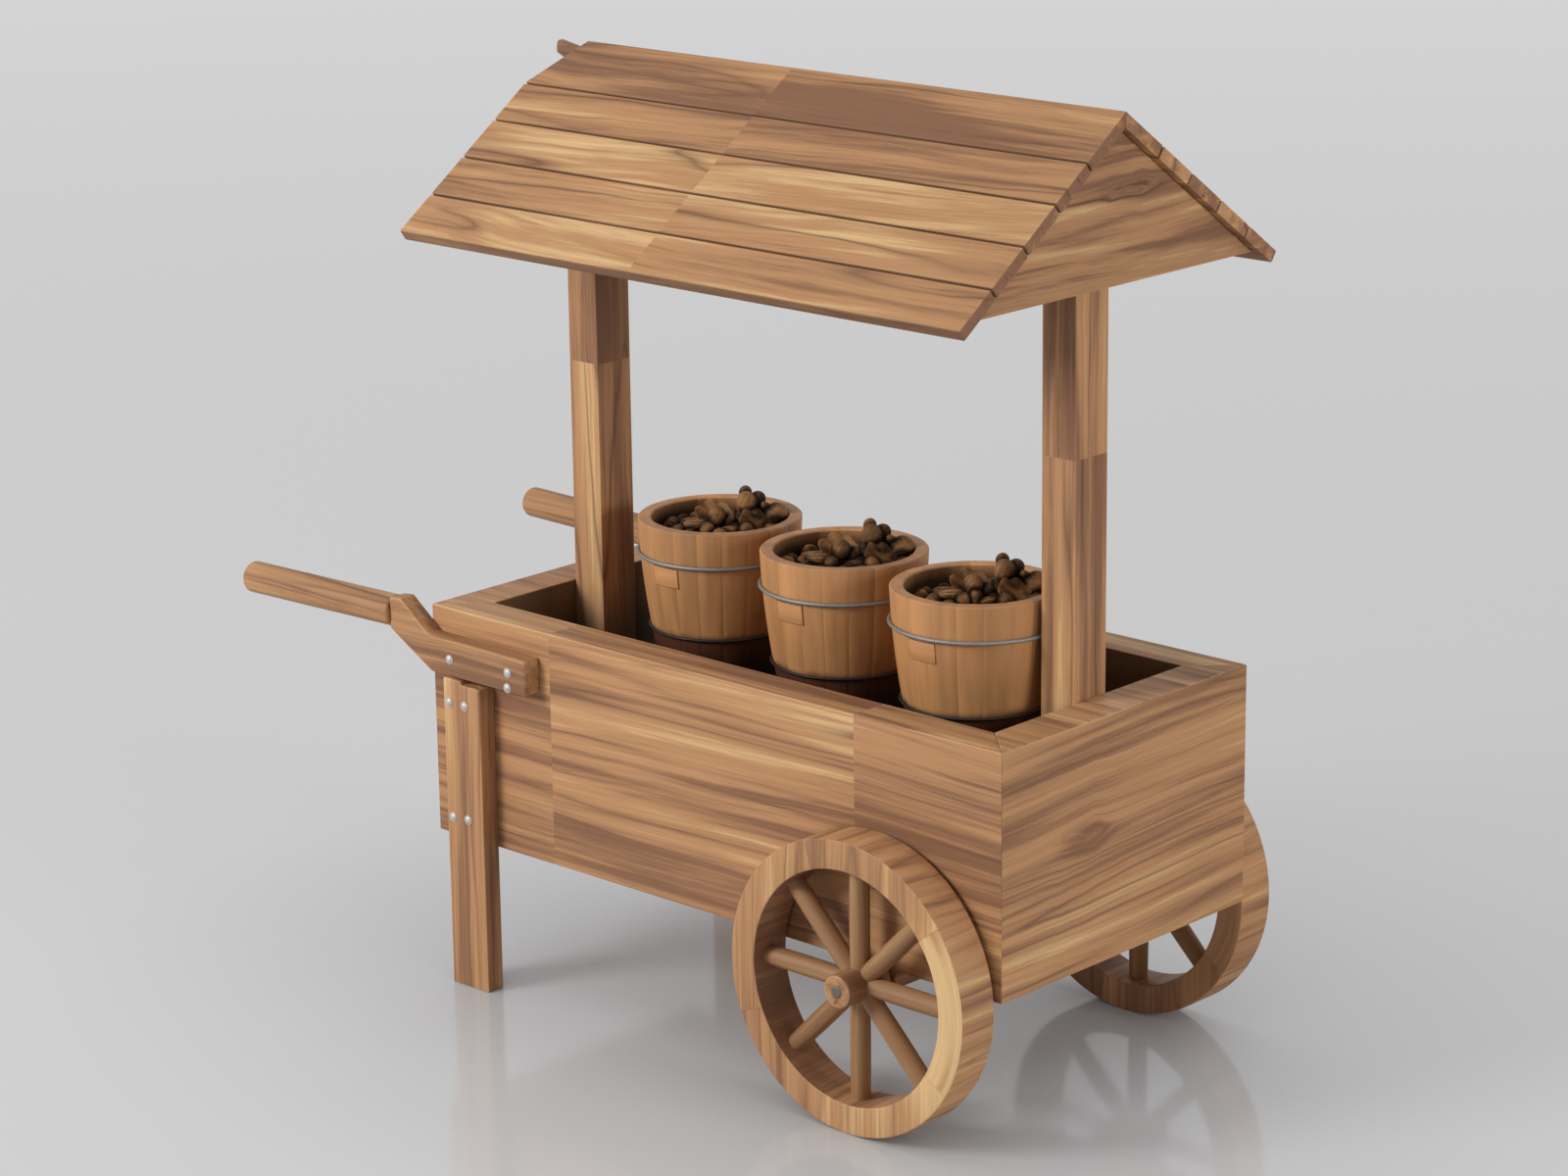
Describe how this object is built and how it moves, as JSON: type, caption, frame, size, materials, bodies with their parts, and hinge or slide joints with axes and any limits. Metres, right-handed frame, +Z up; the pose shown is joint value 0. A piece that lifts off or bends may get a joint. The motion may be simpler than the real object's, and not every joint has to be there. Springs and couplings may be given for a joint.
{
  "type": "roofed nut vending cart",
  "caption": "Wooden roofed vending cart with spoked wheels, push handles, legs and an open tray of nut buckets.",
  "frame": {"origin": "on the ground, midway along and across the whole cart with its handles", "axes": "+X towards the wheel end, +Y to the left side seen from the handles, +Z up"},
  "size_m": [2.3088, 1.114, 2.173],
  "materials": {
    "box_wood": "striped hardwood with a satin oil finish",
    "post_wood": "striped hardwood with a satin oil finish",
    "roof_wood": "striped hardwood boards with a satin finish",
    "gable_wood": "striped hardwood with a satin oil finish",
    "handle_wood": "smooth satin hardwood",
    "wheel_wood": "banded hardwood with a satin finish",
    "spoke_wood": "turned hardwood with a satin finish",
    "floor_wood": "dark stained boards",
    "bucket_wood": "smooth pale staves with a satin finish",
    "hoop_steel": "bright drawn steel wire",
    "axle_steel": "dull steel bar",
    "nut_shell": "dark brown rough nut shells"
  },
  "bodies": {
    "cart": {"right_side_wall": "box_wood", "left_side_wall": "box_wood", "front_end_wall": "box_wood", "rear_end_wall": "box_wood", "tray_floor": "floor_wood", "base": "floor_wood", "right_axle_block": "floor_wood", "left_axle_block": "floor_wood", "front_post": "post_wood", "rear_post": "post_wood", "front_gable": "gable_wood", "rear_gable": "gable_wood", "right_roof_board_1": "roof_wood", "right_roof_board_2": "roof_wood", "right_roof_board_3": "roof_wood", "right_roof_board_4": "roof_wood", "right_roof_board_5": "roof_wood", "left_roof_board_1": "roof_wood", "left_roof_board_2": "roof_wood", "left_roof_board_3": "roof_wood", "left_roof_board_4": "roof_wood", "left_roof_board_5": "roof_wood", "right_handle_bar": "handle_wood", "left_handle_bar": "handle_wood", "right_grip": "handle_wood", "left_grip": "handle_wood", "right_leg": "handle_wood", "left_leg": "handle_wood", "axle": "axle_steel", "rear_bucket": "bucket_wood", "middle_bucket": "bucket_wood", "front_bucket": "bucket_wood", "bucket_tabs": "bucket_wood", "bucket_hoops": "hoop_steel", "rear_nuts": "nut_shell", "middle_nuts": "nut_shell", "front_nuts": "nut_shell"},
    "right_wheel": {"right_wheel_rim": "wheel_wood", "right_wheel_spokes": "spoke_wood", "right_wheel_hub": "spoke_wood"},
    "left_wheel": {"left_wheel_rim": "wheel_wood", "left_wheel_spokes": "spoke_wood", "left_wheel_hub": "spoke_wood"}
  },
  "joints": [
    {"name": "right_wheel_spin", "type": "hinge", "parent": "cart", "child": "right_wheel", "pos_m": [0.81341, -0.479, 0.33], "axis": [0, 1, 0], "continuous": true},
    {"name": "left_wheel_spin", "type": "hinge", "parent": "cart", "child": "left_wheel", "pos_m": [0.81341, 0.479, 0.33], "axis": [0, 1, 0], "continuous": true}
  ]
}
